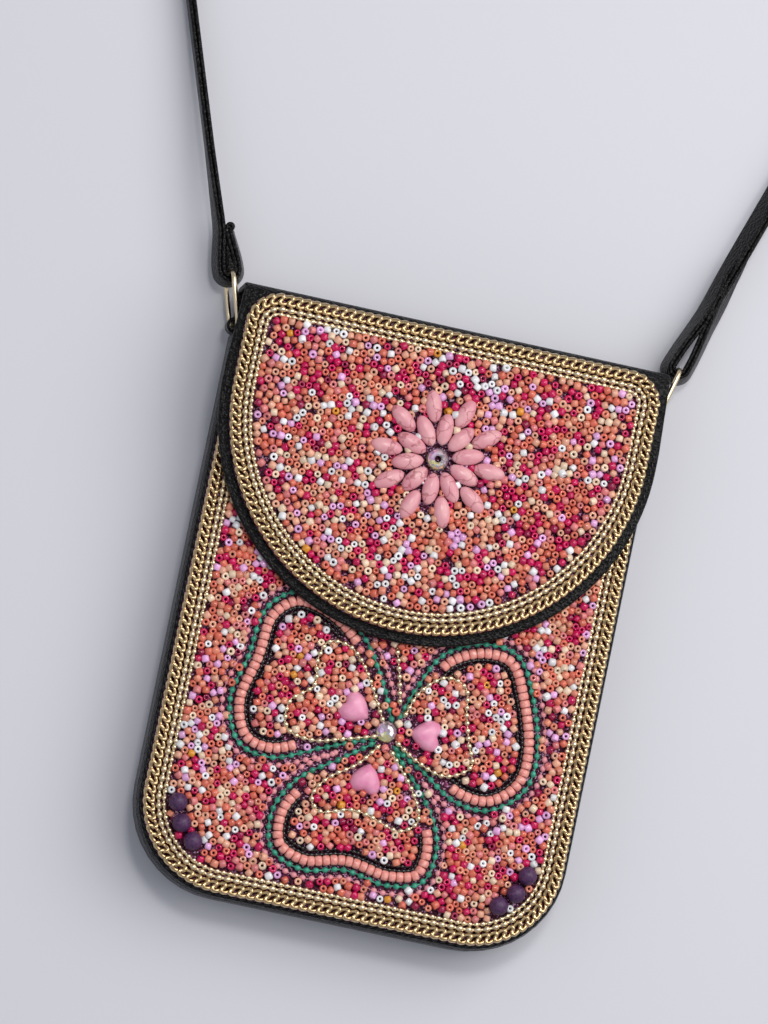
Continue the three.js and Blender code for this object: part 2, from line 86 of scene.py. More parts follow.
# Levels of the cloth and of what is sewn on it
CLEARANCE = 0.3
CLOTH_THICKNESS = 1
FRONT_CLOTH_TOP = POUCH_DEPTH + CLEARANCE + CLOTH_THICKNESS
FRONT_SEAT = FRONT_CLOTH_TOP + CLEARANCE
FLAP_CLOTH_TOP = FLAP_FACE + CLEARANCE + CLOTH_THICKNESS
FLAP_SEAT = FLAP_CLOTH_TOP + CLEARANCE

# Gold chains round the edges, each measured from its leather's rim
FRONT_RIM = 1.65
FLAP_RIM = 3.8
FLAP_TOP_RIM = 2.4
CHAIN_CORNER = 10
CHAIN_END_X = 0.2
CHAINS_WIDTH = 7.6
CURB_WIDTH = 3.6
CURB_OUTWARD = 0.35
CURB_LINK = dict(overlap=0.56, half_width=1.4, lean=0.9, rise=0.5, wire=0.7)
CURB_PITCH = 2.85
CURB_LIFT = 1.1
OUTER_BALLS_INSET = CURB_WIDTH + 0.8
INNER_BALLS_INSET = CURB_WIDTH + 2.6

# Rows of balls: from ball to ball, radius of a ball, radius of the wire or thread between them,
# and where a ball's side is drawn between its neck and its middle, as shares of its radius
BALL_SHOULDER = (0.7, 0.714)
OUTER_BALLS = dict(pitch=2.9, radius=1.14, wire=0.5)
INNER_BALLS = dict(pitch=2.05, radius=0.95, wire=0.45)
GREEN_BALLS = dict(pitch=2.92, radius=1.03, wire=0.24)
PINK_BALLS = dict(pitch=2.9, radius=1.0, wire=0.12)
FINE_GOLD_BALLS = dict(pitch=2.45, radius=1.02, wire=0.26)
BLACK_BEADS = dict(pitch=1.5, radius=0.78, wire=0.4)

# Flower: rings of marquise stones, each with its radius and its first stone's direction in degrees
FLOWER = (1.2, 53.2)
PETAL_RINGS = {"inner": (9.7, 16), "outer": (16.8, 34)}
PETALS_IN_RING = 10
PETAL_LENGTH = 10.7
PETAL_WIDTH = 5.3
PETAL_HEIGHT = 3.8
PETAL_FULLNESS = 0.6
PETAL_STEPS = 15
STONE_SIDES = 20

# Shamrock: points that each leaf's green chain passes, where its coral and black rows begin as mm from
# the shamrock's middle, its heart's place and line in degrees, and points of the fine gold row inside it
SHAMROCK = (3.5, -34.1)
LEAVES = {
    "left": dict(
        outline=[(5, -31), (-1, -18.5), (-9, -6.5), (-20, 1.5), (-33, 3.5), (-42, -4.5),
                 (-44, -19), (-47, -34), (-42, -46.5), (-30.5, -49.5), (-16, -43.5), (1, -36.5)],
        coral=28.8, black=32.4, heart=(-7.6, -29.1), turn=156,
        gold=[(1, -36), (-9, -39), (-19, -41.5), (-27.5, -39.5), (-28.5, -31), (-22, -24.5),
              (-22.5, -16.5), (-20, -10), (-12.5, -10.5), (-6, -17.5), (2, -31.5)]),
    "right": dict(
        outline=[(6.5, -38), (17.5, -44), (29, -51), (41, -51.5), (50.5, -43), (52, -30),
                 (47, -13.5), (40, -2), (28, -0.5), (16.5, -6.5), (10.5, -18), (6.5, -29.5)],
        coral=26.5, black=25, heart=(16.0, -32.6), turn=1,
        gold=[(8, -28.5), (11.5, -19.5), (18.5, -13.5), (25.5, -15.5), (27.5, -24), (30, -32.5),
              (32, -39.5), (24.5, -44), (15.5, -41.5), (7, -36.5)]),
    "bottom": dict(
        outline=[(1, -38), (-9, -45.5), (-20, -53.5), (-26.5, -64.5), (-25, -77), (-14, -82),
                 (-0.5, -79.5), (13, -81.5), (24.5, -78), (26.5, -65.5), (20.5, -53.5), (7.5, -39.5)],
        coral=33.3, black=34, heart=(0.3, -49.9), turn=-94,
        gold=[(2.5, -38.5), (-3.5, -46), (-11.5, -52), (-15.5, -58.5), (-12, -63), (-2.5, -60.5),
              (4.5, -61.5), (13.5, -64), (19, -59.5), (15.5, -51), (6, -39.5)]),
}
GOLD_STEM = [(1.5, -7.5), (4, -16), (6, -25)]
GREEN_LIFT = 0.05
FINE_GOLD_LIFT = 1.1
CORAL_INSET = 2.95
CORAL_PITCH = 2.45
CORAL_LIFT = 1.6
CORAL_FLATTENED = 0.93
BLACK_INSET = 5.7
BLACK_APART = 0.74
PINK_INSET = -2.5
PINK_START = 11
PINK_FROM_GREEN = 1.9

# Hearts: their size, the share of it at the foot, and layers of height in mm and share of the size
HEART_HALF_WIDTH = 5
HEART_LENGTH = 9.4
HEART_FOOT = 0.88
HEART_CURVE_STEPS = 10
HEART_SMOOTH_RINGS = 4
HEART_SMOOTHING = dict(factor=0.5, repeat=12)
HEART_LAYERS = [(0.6, 0.97), (1.5, 1.0), (2.5, 0.96), (3.3, 0.85), (3.8, 0.68), (4.1, 0.46), (4.2, 0.2)]

# Round beads in the lower corners, strung along an arc, with its first bead's direction and step in degrees
CORNER_BEAD = 3
BEAD_BORE = 0.6
BEAD_INSET = 8.75
FIRST_BEAD = 11
BEAD_STEP = 21.5
BEAD_CURVE_STEPS = 12

# Rings and strap, with turns in degrees
RING = dict(length=17.2, width=11.2, wire=1.6, corner=3, z=9, play=0.5)
RING_FOOT = (68.9, 82.8)
STRAP = dict(width=8, thick=2.6, length=1200, lower=110, spacing=1.45, tip_from=2, tip_to=45)
STRAP_ENDS = [
    dict(name="left", side=-1, lean=18.5, fold=3.2, tail=16, sewn=12.6, closing=16, tuck=0.0,
         ring_lean=17, ring_turn=8, loop_tip=-12, tip=0),
    dict(name="right", side=1, lean=19, fold=3.2, tail=50, sewn=42, closing=24, tuck=1.3,
         ring_lean=14, ring_turn=5, loop_tip=14, tip=32),
]
TUCK_FROM = 20
TUCK_TO = 36
PLY_SHIFTS = (-0.65, 0.65)
PLY_HALF_THICK = 0.66
PLY_HALF_WIDTH = 3.3
TAIL_TAPER = [0.97, 0.88, 0.75, 0.5]
LINING = dict(start=-0.3, end=12.5, across=0.15, half_thick=1.5, half_width=2.3, widest=1.15, narrowest=0.6)
CURL = dict(x=0.3, y=1.1, radius=0.9, start=-110, end=210, half_thick=0.62)


# Materials
def linear(code):
    parts = [int(code[i:i + 2], 16) / 255 for i in (1, 3, 5)]
    return [p / 12.92 if p <= 0.04045 else ((p + 0.055) / 1.055) ** 2.4 for p in parts] + [1.0]


def surface(name, colour, sockets):
    material = bpy.data.materials.new(name)
    material.use_nodes = True
    shader = material.node_tree.nodes["Principled BSDF"]
    shader.inputs["Base Color"].default_value = linear(colour)
    for key, value in sockets.items():
        shader.inputs[key].default_value = value
    return material


def add(material, kind, sockets=None, stops=(), feeds=None, **settings):
    tree = material.node_tree
    made = tree.nodes.new(f"ShaderNode{kind}")
    for key, value in settings.items():
        setattr(made, key, value)
    for key, value in (sockets or {}).items():
        if isinstance(value, bpy.types.NodeSocket):
            tree.links.new(value, made.inputs[key])
        else:
            made.inputs[key].default_value = value
    for _ in stops[2:]:
        made.color_ramp.elements.new(0.5)
    for i, (at, colour) in enumerate(stops):
        made.color_ramp.elements[i].position = at
        made.color_ramp.elements[i].color = linear(colour)
    if feeds:
        tree.links.new(made.outputs[0], tree.nodes["Principled BSDF"].inputs[feeds])
    return made


# Finely grained black calf leather: deep black with small pebbles that catch the light
LEATHER = surface("black grained leather", "#08080A", {"Roughness": 0.3, "Specular IOR Level": 0.19})
place = add(LEATHER, "TexCoord").outputs["Object"]
cloudy = add(LEATHER, "TexNoise", {"Vector": place, "Scale": 1 / (7 * MM), "Detail": 4.0})
blacks = [(0.35, "#050507"), (0.68, "#0B0B0E")]
add(LEATHER, "ValToRGB", {"Fac": cloudy.outputs["Fac"]}, blacks, "Base Color")
pebbles = add(LEATHER, "TexVoronoi", {"Vector": place, "Scale": 1 / (0.85 * MM)}, feature="F1")
relief = {"Height": pebbles.outputs["Distance"], "Strength": 1.0, "Distance": 0.36 * MM}
add(LEATHER, "Bump", relief, feeds="Normal")

# Black waxed thread of the seams: a little glossier than the leather
THREAD = surface("black waxed thread", "#1A1B1F", {"Roughness": 0.3})

# Dark purple cloth with glitter: mostly dark, with tiny pale violet sparks
CLOTH = surface("purple glitter cloth", "#2A0C22", {"Roughness": 0.55, "Specular IOR Level": 0.25})
place = add(CLOTH, "TexCoord").outputs["Object"]
grains = add(CLOTH, "TexVoronoi", {"Vector": place, "Scale": 1 / (0.42 * MM)}, feature="F1")
spark = add(CLOTH, "SeparateColor", {"Color": grains.outputs["Color"]})
glitter = [(0.0, "#1C0410"), (0.5, "#3C0A26"), (0.8, "#8C2C64"), (0.94, "#E0B4DA")]
add(CLOTH, "ValToRGB", {"Fac": spark.outputs["Red"]}, glitter, "Base Color")
relief = {"Height": grains.outputs["Distance"], "Strength": 0.8, "Distance": 0.25 * MM}
add(CLOTH, "Bump", relief, feeds="Normal")

# Yellow gold plate of the flat chain: bright highlights that fall off to brown
GOLD = surface("yellow gold plate", "#D4BA90", {"Metallic": 1.0, "Roughness": 0.22})

# Champagne gold plate of the ball chains and rings: almost silver where it catches the light
CHAMPAGNE = surface("champagne gold plate", "#EAD9B8", {"Metallic": 1.0, "Roughness": 0.28})

# Teal green enamel on metal balls: satin, a little cloudy
GREEN = surface("teal green enamel", "#1F7F68", {"Roughness": 0.3})
place = add(GREEN, "TexCoord").outputs["Object"]
worn = add(GREEN, "TexNoise", {"Vector": place, "Scale": 1 / (1.6 * MM), "Detail": 2.0})
teals = [(0.35, "#1F7A64"), (0.7, "#44B096")]
add(GREEN, "ValToRGB", {"Fac": worn.outputs["Fac"]}, teals, "Base Color")

# Dusty pink lacquer on metal balls: soft gloss
PINK = surface("dusty pink lacquer", "#E498A2", {"Roughness": 0.3})

# Tiny black glass beads: near black with pin-point glints
BLACK = surface("black glass", "#0A080C", {"Roughness": 0.12, "Specular IOR Level": 0.8})

# Opaque coral glass of the large beads: mottled salmon, glossy
CORAL = surface("coral glass", "#DF8C80", {"Roughness": 0.28})
place = add(CORAL, "TexCoord").outputs["Object"]
mottle = add(CORAL, "TexNoise", {"Vector": place, "Scale": 1 / (1.1 * MM), "Detail": 4.0})
salmons = [(0.3, "#DE857C"), (0.55, "#EEA198"), (0.75, "#F8C6BC")]
add(CORAL, "ValToRGB", {"Fac": mottle.outputs["Fac"]}, salmons, "Base Color")

# Opaque glass seed beads: one tint for each bead, glossy
SEED = surface("opaque glass seed beads", "#DE785C", {"Roughness": 0.12, "Specular IOR Level": 0.6})
add(SEED, "VertexColor", feeds="Base Color", layer_name="tint")

# Dyed pink howlite: smooth stone with a few fine dark veins
HOWLITE = surface("pink howlite", "#E79AA6", {"Roughness": 0.3})
place = add(HOWLITE, "TexCoord").outputs["Object"]
patch = add(HOWLITE, "TexNoise", {"Vector": place, "Scale": 1 / (5 * MM), "Detail": 4.0})
pinks = [(0.3, "#D68E9D"), (0.55, "#E0A1AB"), (0.8, "#E8B8BA")]
stone = add(HOWLITE, "ValToRGB", {"Fac": patch.outputs["Fac"]}, pinks)
warp = add(HOWLITE, "TexNoise", {"Vector": place, "Scale": 1 / (4 * MM), "Detail": 4.0})
bent = {"Fac": 6 * MM, "Color1": place, "Color2": warp.outputs["Color"]}
wander = add(HOWLITE, "MixRGB", bent, blend_type="ADD").outputs["Color"]
cracks = add(HOWLITE, "TexVoronoi", {"Vector": wander, "Scale": 1 / (9 * MM)}, feature="DISTANCE_TO_EDGE")
greys = [(0.0, "#A88084"), (0.012, "#D2AEB0"), (0.035, "#FFFFFF")]
veins = add(HOWLITE, "ValToRGB", {"Fac": cracks.outputs["Distance"]}, greys)
veined = {"Fac": 0.7, "Color1": stone.outputs["Color"], "Color2": veins.outputs["Color"]}
add(HOWLITE, "MixRGB", veined, feeds="Base Color", blend_type="MULTIPLY")

# Polished orchid pink stone of the hearts: even colour, soft clouds
HEART = surface("orchid pink stone", "#DA8DB4", {"Roughness": 0.34})
place = add(HEART, "TexCoord").outputs["Object"]
haze = add(HEART, "TexNoise", {"Vector": place, "Scale": 1 / (4 * MM), "Detail": 2.0})
orchids = [(0.3, "#E28CB4"), (0.7, "#F0AAC8")]
add(HEART, "ValToRGB", {"Fac": haze.outputs["Fac"]}, orchids, "Base Color")

# Dark violet dyed beads: dull, slightly grainy
VIOLET = surface("dark violet bead", "#43305A", {"Roughness": 0.5})
place = add(VIOLET, "TexCoord").outputs["Object"]
grain = add(VIOLET, "TexNoise", {"Vector": place, "Scale": 1 / (0.7 * MM), "Detail": 4.0})
violets = [(0.3, "#2C1438"), (0.7, "#5C3466")]
add(VIOLET, "ValToRGB", {"Fac": grain.outputs["Fac"]}, violets, "Base Color")

# Cut crystal with an iridescent coat: each facet carries a fixed tint, partly the coat's own colours and
# partly painted reflection
CRYSTAL = surface("coated cut crystal", "#D8D2E4", {"Metallic": 0.7, "Roughness": 0.08})
add(CRYSTAL, "VertexColor", feeds="Base Color", layer_name="tint")

# Pale grey lavender backdrop paper: dull and even
PAPER = surface("pale backdrop paper", "#D4D7E1", {"Roughness": 0.9})


# Runs of points that the rows follow
LOOK_AHEAD = 0.1


def polar(reach, degrees):
    turn = math.radians(degrees)
    return np.array((reach * math.cos(turn), reach * math.sin(turn)))


def arc(cx, cy, radius, start, end, steps):
    turn = np.radians(np.linspace(start, end, steps + 1))
    return np.column_stack((cx + radius * np.cos(turn), cy + radius * np.sin(turn)))


def panel_run(inset, top, steps=24):
    half = HALF_PANEL - inset
    radius = CORNER_RADIUS - inset
    left = arc(-CORNER_X, LOW_CORNER_Y, radius, 180, 270, steps)
    right = arc(CORNER_X, LOW_CORNER_Y, radius, 270, 360, steps)
    return np.vstack(([[-half, top]], left, right, [[half, top]]))


def flap_run(inset, top_inset, corner):
    half = HALF_FLAP - inset
    top = TOP - top_inset
    left = arc(corner - half, top - corner, corner, 90, 180, 10)
    round_end = arc(0, FLAP_ARC_Y, half, 180, 360, 90)
    right = arc(half - corner, top - corner, corner, 0, 90, 10)
    return np.vstack(([[-CHAIN_END_X, top]], left, round_end, right, [[CHAIN_END_X, top]]))


def front_chain_run(inset):
    return panel_run(inset, FRONT_TOP - FRONT_RIM)


def flap_chain_run(inset):
    drop = inset - FLAP_RIM
    return flap_run(inset, FLAP_TOP_RIM + drop, CHAIN_CORNER - drop)


def smooth_run(points, steps=14):
    p = np.asarray(points, float)
    p = np.vstack((2 * p[0] - p[1], p, 2 * p[-1] - p[-2]))
    t = (np.arange(steps) / steps)[:, None]
    spans = []
    for a, b, c, d in zip(p, p[1:], p[2:], p[3:]):
        square = 2 * a - 5 * b + 4 * c - d
        cube = 3 * b - a - 3 * c + d
        spans.append(b + 0.5 * ((c - a) * t + square * t**2 + cube * t**3))
    return np.vstack(spans + [p[-2:-1]])


def inset_run(points, inset):
    along = np.gradient(points, axis=0)
    along /= np.hypot(along[:, 0], along[:, 1])[:, None]
    return points + inset * np.column_stack((-along[:, 1], along[:, 0]))


def leaf_run(leaf, inset=0.0, nearest=0.0):
    run = inset_run(smooth_run(leaf["outline"]), inset)
    return run[np.hypot(run[:, 0] - SHAMROCK[0], run[:, 1] - SHAMROCK[1]) >= nearest]


def spaced(points, pitch):
    reach = np.concatenate(([0.0], np.cumsum(np.hypot(*np.diff(points, axis=0).T))))
    count = max(2, round(reach[-1] / pitch))
    step = reach[-1] / count
    at = (np.arange(count) + 0.5) * reach[-1] / count

    def spot(s):
        return np.column_stack([np.interp(s, reach, points[:, k]) for k in (0, 1)])

    ahead = spot(at + LOOK_AHEAD) - spot(at - LOOK_AHEAD)
    return spot(at), np.arctan2(ahead[:, 1], ahead[:, 0]), step


# Many small things: one small shape placed many times in one mesh
def turned_shape(profile, sides, closed=False):
    turn = np.arange(sides) * math.tau / sides
    verts = [(along, r * math.cos(a), r * math.sin(a)) for along, r in profile for a in turn]
    rows = len(profile) if closed else len(profile) - 1
    quads = []
    for row in range(rows):
        near = row * sides
        far = (row + 1) % len(profile) * sides
        for k in range(sides):
            j = (k + 1) % sides
            quads.append((near + k, near + j, far + j, far + k))
    return np.array(verts, float), np.array(quads)


def curb_link(half_length, half_width, lean, rise, wire, steps=12, sides=6):
    t = np.arange(steps) * math.tau / steps
    forward = half_length * np.cos(t) + lean * half_width * np.sin(t)
    path = np.column_stack((forward, half_width * np.sin(t), rise * np.sin(2 * t)))
    along = np.roll(path, -1, axis=0) - np.roll(path, 1, axis=0)
    along /= np.linalg.norm(along, axis=1)[:, None]
    side = np.cross([0, 0, 1], along)
    side /= np.linalg.norm(side, axis=1)[:, None]
    up = np.cross(along, side)
    a = np.arange(sides) * math.tau / sides
    ring = np.cos(a)[None, :, None] * side[:, None] + np.sin(a)[None, :, None] * up[:, None]
    verts = (path[:, None] + wire * ring).reshape(-1, 3)
    quads = []
    for i in range(steps):
        n = (i + 1) % steps
        for k in range(sides):
            j = (k + 1) % sides
            quads.append((i * sides + k, i * sides + j, n * sides + j, n * sides + k))
    return verts, np.array(quads)


def about_z(turn):
    c, s = np.cos(turn), np.sin(turn)
    zero, one = np.zeros_like(c), np.ones_like(c)
    rows = [np.stack(row, -1) for row in ((c, -s, zero), (s, c, zero), (zero, zero, one))]
    return np.stack(rows, -2)


def placed(shape, turns, spots):
    verts, quads = shape
    out = np.einsum("nij,kj->nki", turns, verts) + spots[:, None, :]
    faces = quads[None] + (np.arange(len(spots)) * len(verts))[:, None, None]
    return out.reshape(-1, 3), faces.reshape(-1, quads.shape[1])


def level(spots, height):
    return np.column_stack((spots, np.full(len(spots), height)))


def finished(piece, material, slot, *nodes):
    piece.data.materials.clear()
    piece.data.materials.append(material)
    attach(piece, "root")
    if nodes:
        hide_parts(*nodes)
    return piece


def joined(name, groups, material, slot, *nodes, tints=None):
    verts, faces, count = [], [], 0
    for v, f in groups:
        verts.append(v)
        faces.append(f + count)
        count += len(v)
    mesh = bpy.data.meshes.new(name)
    mesh.from_pydata((np.vstack(verts) * MM).tolist(), [], np.vstack(faces).tolist())
    if tints is not None:
        layer = mesh.color_attributes.new("tint", "FLOAT_COLOR", "POINT")
        each = np.repeat(tints, count // len(tints), axis=0)
        layer.data.foreach_set("color", each.astype(np.float32).ravel())
    mesh.polygons.foreach_set("use_smooth", np.ones(len(mesh.polygons), bool))
    piece = bpy.data.objects.new(name, mesh)
    bpy.context.collection.objects.link(piece)
    return finished(piece, material, slot, *nodes)


def ball_row(points, height, pitch, radius, wire, sides=8):
    spots, heading, step = spaced(points, pitch)
    half = step / 2
    neck = math.sqrt(radius**2 - wire**2)
    along, out = (share * radius for share in BALL_SHOULDER)
    profile = [(-half, wire), (-neck, wire), (-along, out), (0, radius),
               (along, out), (neck, wire), (half, wire)]
    return placed(turned_shape(profile, sides), about_z(heading), level(spots, height + radius))


def curb_row(points, height, overlap, **link):
    spots, heading, step = spaced(points, CURB_PITCH)
    return placed(curb_link(overlap * step, **link), about_z(heading), level(spots, height + CURB_LIFT))


# Gold chains round the front and the flap
def gold_chains(side, run, seat, rim):
    curb = curb_row(run(rim + CURB_WIDTH / 2 - CURB_OUTWARD), seat, **CURB_LINK)
    joined(f"{side}_curb_links", [curb], GOLD, "pale_gold", f"{side}_curb_chain")
    outer = ball_row(run(rim + OUTER_BALLS_INSET), seat, **OUTER_BALLS)
    inner = ball_row(run(rim + INNER_BALLS_INSET), seat, **INNER_BALLS)
    joined(f"{side}_ball_links", [outer, inner], CHAMPAGNE, "pale_gold", f"{side}_ball_chains")


gold_chains("front", front_chain_run, FRONT_SEAT, FRONT_RIM)
gold_chains("flap", flap_chain_run, FLAP_SEAT, FLAP_RIM)

# Rows of the shamrock's leaves
GREEN_RUNS = {name: leaf_run(leaf) for name, leaf in LEAVES.items()}
CORAL_RUNS = {name: leaf_run(leaf, CORAL_INSET, leaf["coral"]) for name, leaf in LEAVES.items()}
BLACK_RUNS = {name: leaf_run(leaf, BLACK_INSET, leaf["black"]) for name, leaf in LEAVES.items()}
GOLD_RUNS = [smooth_run(points) for points in [*(leaf["gold"] for leaf in LEAVES.values()), GOLD_STEM]]
PINK_RUNS = {}
for name, leaf in LEAVES.items():
    run = leaf_run(leaf, PINK_INSET, PINK_START)
    for other in LEAVES:
        if other != name:
            gaps = np.hypot(*(run[:, None] - GREEN_RUNS[other][None]).transpose(2, 0, 1)).min(1)
            run = run[gaps > PINK_FROM_GREEN]
    PINK_RUNS[name] = run

# A coral bead's places along its hole, each with its radius
coral_profile = [(-0.8, 0.7), (-1.18, 1.2), (-0.85, 1.6), (0, 1.68), (0.85, 1.6), (1.18, 1.2), (0.8, 0.7)]
coral_shape = turned_shape(coral_profile, 10)
for name in LEAVES:
    green = ball_row(GREEN_RUNS[name], FRONT_CLOTH_TOP + GREEN_LIFT, **GREEN_BALLS)
    joined(f"green_balls_{name}", [green], GREEN, "green_chain", f"leaf_green_chain_{name}")
    spots, heading, _ = spaced(CORAL_RUNS[name], CORAL_PITCH)
    turns = about_z(heading) @ np.diag([1, 1, CORAL_FLATTENED])
    beads = placed(coral_shape, turns, level(spots, FRONT_CLOTH_TOP + CORAL_LIFT))
    joined(f"coral_beads_{name}", [beads], CORAL, "coral_bead", f"leaf_coral_row_{name}")
pink_rows = [ball_row(run, FRONT_CLOTH_TOP, **PINK_BALLS) for run in PINK_RUNS.values()]
joined("pink_rows", pink_rows, PINK, "coral_bead")
gold_rows = [ball_row(run, FRONT_CLOTH_TOP + FINE_GOLD_LIFT, **FINE_GOLD_BALLS) for run in GOLD_RUNS]
joined("fine_gold_rows", gold_rows, CHAMPAGNE, "pale_gold")
black_rows = []
for run in BLACK_RUNS.values():
    for shift in (-BLACK_APART, BLACK_APART):
        black_rows.append(ball_row(inset_run(run, shift), FRONT_CLOTH_TOP, **BLACK_BEADS))
joined("black_rows", black_rows, BLACK, "seed_bead")

# Seed beads: packed loosely over all the cloth that the rows and stones leave free
CELL = 0.2
FIELD_X = 72
FIELD_Y = 98
GRID_X = np.arange(-FIELD_X, FIELD_X, CELL)
GRID_Y = np.arange(-FIELD_Y, FIELD_Y, CELL)
CELL_X, CELL_Y = np.meshgrid(GRID_X, GRID_Y, indexing="ij")

# First places in rows and columns, as shares of the spacing, then how beads are strewn and pushed apart,
# and how gaps between them are filled
ROW_STEP = 0.8
COLUMN_STEP = 0.94
SCATTER = 1.3
PUSHES = 34
PUSH_SHARE = 0.32
PUSH_LIMIT = 0.5
CLOSEST = 0.8
NEAR_BEADS = 300
FILLER_ROOM = 0.86
FILLERS_TRIED = 9000
FILLERS_WITHIN = (70, 97)

# Seed beads' tints with their share, and how they lie
SEED_TINTS = [
    ("#DD705C", 0.2), ("#E28C74", 0.15), ("#DE8082", 0.07), ("#EAAE94", 0.13), ("#F2D8BE", 0.07),
    ("#F0F2F8", 0.1), ("#CA0A58", 0.15), ("#960A44", 0.02), ("#EDB4EA", 0.07), ("#DC9430", 0.005)]
TINT_SHADES = (0.78, 1.04)
SEED_RADIUS = 1.16
SEED_HALF_LENGTH = 1.0
SEED_SIZES = (0.95, 1.16)
SEED_LIFTS = (0.05, 0.7)
SEEDS_ON_END = 0.4
SEED_TILT = 0.22
NEARLY_UPRIGHT = 0.9

# A seed bead's places along its hole, each with its radius
seed_profile = [(-0.66, SEED_RADIUS), (0.66, SEED_RADIUS), (SEED_HALF_LENGTH, 0.86),
                (0.82, 0.42), (-0.82, 0.42), (-SEED_HALF_LENGTH, 0.86)]
SEED_SHAPE = turned_shape(seed_profile, 10, closed=True)


def block(mask, points, reach):
    span = int(reach / CELL) + 1
    for x, y in points:
        i = int((x - GRID_X[0]) / CELL)
        j = int((y - GRID_Y[0]) / CELL)
        near = (slice(max(i - span, 0), i + span + 1), slice(max(j - span, 0), j + span + 1))
        mask[near] &= np.hypot(CELL_X[near] - x, CELL_Y[near] - y) > reach


def settled(mask, chance, spacing):
    rows = np.arange(-FIELD_Y, FIELD_Y, spacing * ROW_STEP)
    columns = np.arange(-FIELD_X, FIELD_X - 1, spacing * COLUMN_STEP)
    spots = [(x + k % 2 * spacing / 2, y) for k, y in enumerate(rows) for x in columns]
    spots = np.array(spots) + chance.uniform(-SCATTER, SCATTER, (len(spots), 2))

    def free(p):
        i = np.clip(((p[:, 0] - GRID_X[0]) / CELL).astype(int), 0, len(GRID_X) - 1)
        j = np.clip(((p[:, 1] - GRID_Y[0]) / CELL).astype(int), 0, len(GRID_Y) - 1)
        return mask[i, j]

    spots = spots[free(spots)]
    for _ in range(PUSHES):
        away = spots[:, None] - spots[None]
        apart = np.hypot(away[..., 0], away[..., 1])
        np.fill_diagonal(apart, np.inf)
        push = np.clip(spacing - apart, 0, None) / apart
        move = PUSH_SHARE * (away * push[..., None]).sum(1)
        trial = spots + np.clip(move, -PUSH_LIMIT, PUSH_LIMIT)
        good = free(trial)
        spots[good] = trial[good]
    kept = []
    for n in range(len(spots)):
        if all(np.hypot(*(spots[n] - spots[m])) > CLOSEST * spacing for m in kept[-NEAR_BEADS:]):
            kept.append(n)
    spots = spots[kept]
    far = np.array(FILLERS_WITHIN)
    for spot in chance.uniform(-far, far, (FILLERS_TRIED, 2)):
        if free(spot[None])[0] and np.hypot(*(spots - spot).T).min() > FILLER_ROOM * spacing:
            spots = np.vstack((spots, spot))
    return spots


def toward(axis):
    helper = np.where(np.abs(axis[:, 2:]) < NEARLY_UPRIGHT, [[0, 0, 1]], [[0, 1, 0]])
    second = np.cross(helper, axis)
    second /= np.linalg.norm(second, axis=1)[:, None]
    return np.stack((axis, second, np.cross(axis, second)), axis=-1)


def seed_beads(name, mask, seed, cloth_top, spacing):
    chance = np.random.default_rng(seed)
    spots = settled(mask, chance, spacing)
    count = len(spots)
    on_end = chance.random(count) < SEEDS_ON_END
    around = chance.uniform(0, math.tau, count)
    tilt = np.where(on_end, math.pi / 2, 0) + chance.normal(0, SEED_TILT, count)
    axis = np.column_stack((np.cos(around) * np.cos(tilt), np.sin(around) * np.cos(tilt), np.sin(tilt)))
    size = chance.uniform(*SEED_SIZES, count)
    lift = np.where(on_end, SEED_HALF_LENGTH, SEED_RADIUS) * size + chance.uniform(*SEED_LIFTS, count)
    turns = toward(axis) * size[:, None, None]
    beads = placed(SEED_SHAPE, turns, np.column_stack((spots, cloth_top + lift)))
    weights = np.array([weight for _, weight in SEED_TINTS])
    pick = chance.choice(len(SEED_TINTS), count, p=weights / weights.sum())
    tints = np.array([linear(code) for code, _ in SEED_TINTS])[pick]
    tints[:, :3] *= chance.uniform(*TINT_SHADES, (count, 1))
    tints[:, :3] = np.clip(tints[:, :3], 0, 1)
    joined(name, [beads], SEED, "seed_bead", tints=tints)


def petal_places():
    for ring, (radius, first) in PETAL_RINGS.items():
        for i in range(PETALS_IN_RING):
            yield f"petal_{ring}_{i + 1:02d}", radius, first + 360 / PETALS_IN_RING * i


def corner_places():
    for side, sign in (("left", -1), ("right", 1)):
        for i in range(3):
            reach = CORNER_RADIUS - BEAD_INSET - CLEARANCE - CORNER_BEAD
            at = polar(reach, -(FIRST_BEAD + BEAD_STEP * i))
            spot = (sign * (CORNER_X + at[0]), LOW_CORNER_Y + at[1])
            yield f"corner_bead_{side}_{i + 1}", spot, sign * (90 - FIRST_BEAD - BEAD_STEP * i)


# Room on the flap: inside its chains and clear of the flower
INNER_CHAIN = 6.4
CHAIN_ROOM = 1.7
FLOWER_ROOM = 4.5
PETAL_SPINE = 3.2
PETAL_ROOM = 2.5
FLAP_SEED_SPACING = 2.62
flap_depth = HALF_FLAP - np.hypot(CELL_X, np.clip(FLAP_ARC_Y - CELL_Y, 0, None))
flap_open = (flap_depth > FLAP_RIM + CHAINS_WIDTH) & (TOP - CELL_Y > FLAP_TOP_RIM + CHAINS_WIDTH)
block(flap_open, flap_chain_run(FLAP_RIM + INNER_CHAIN), CHAIN_ROOM)
block(flap_open, [FLOWER], FLOWER_ROOM)
for name, radius, turn in petal_places():
    line = np.linspace(radius - PETAL_SPINE, radius + PETAL_SPINE, 9)[:, None]
    block(flap_open, np.array(FLOWER) + line * polar(1, turn), PETAL_ROOM)
seed_beads("flap_seed_beads", flap_open, 11, FLAP_CLOTH_TOP, FLAP_SEED_SPACING)

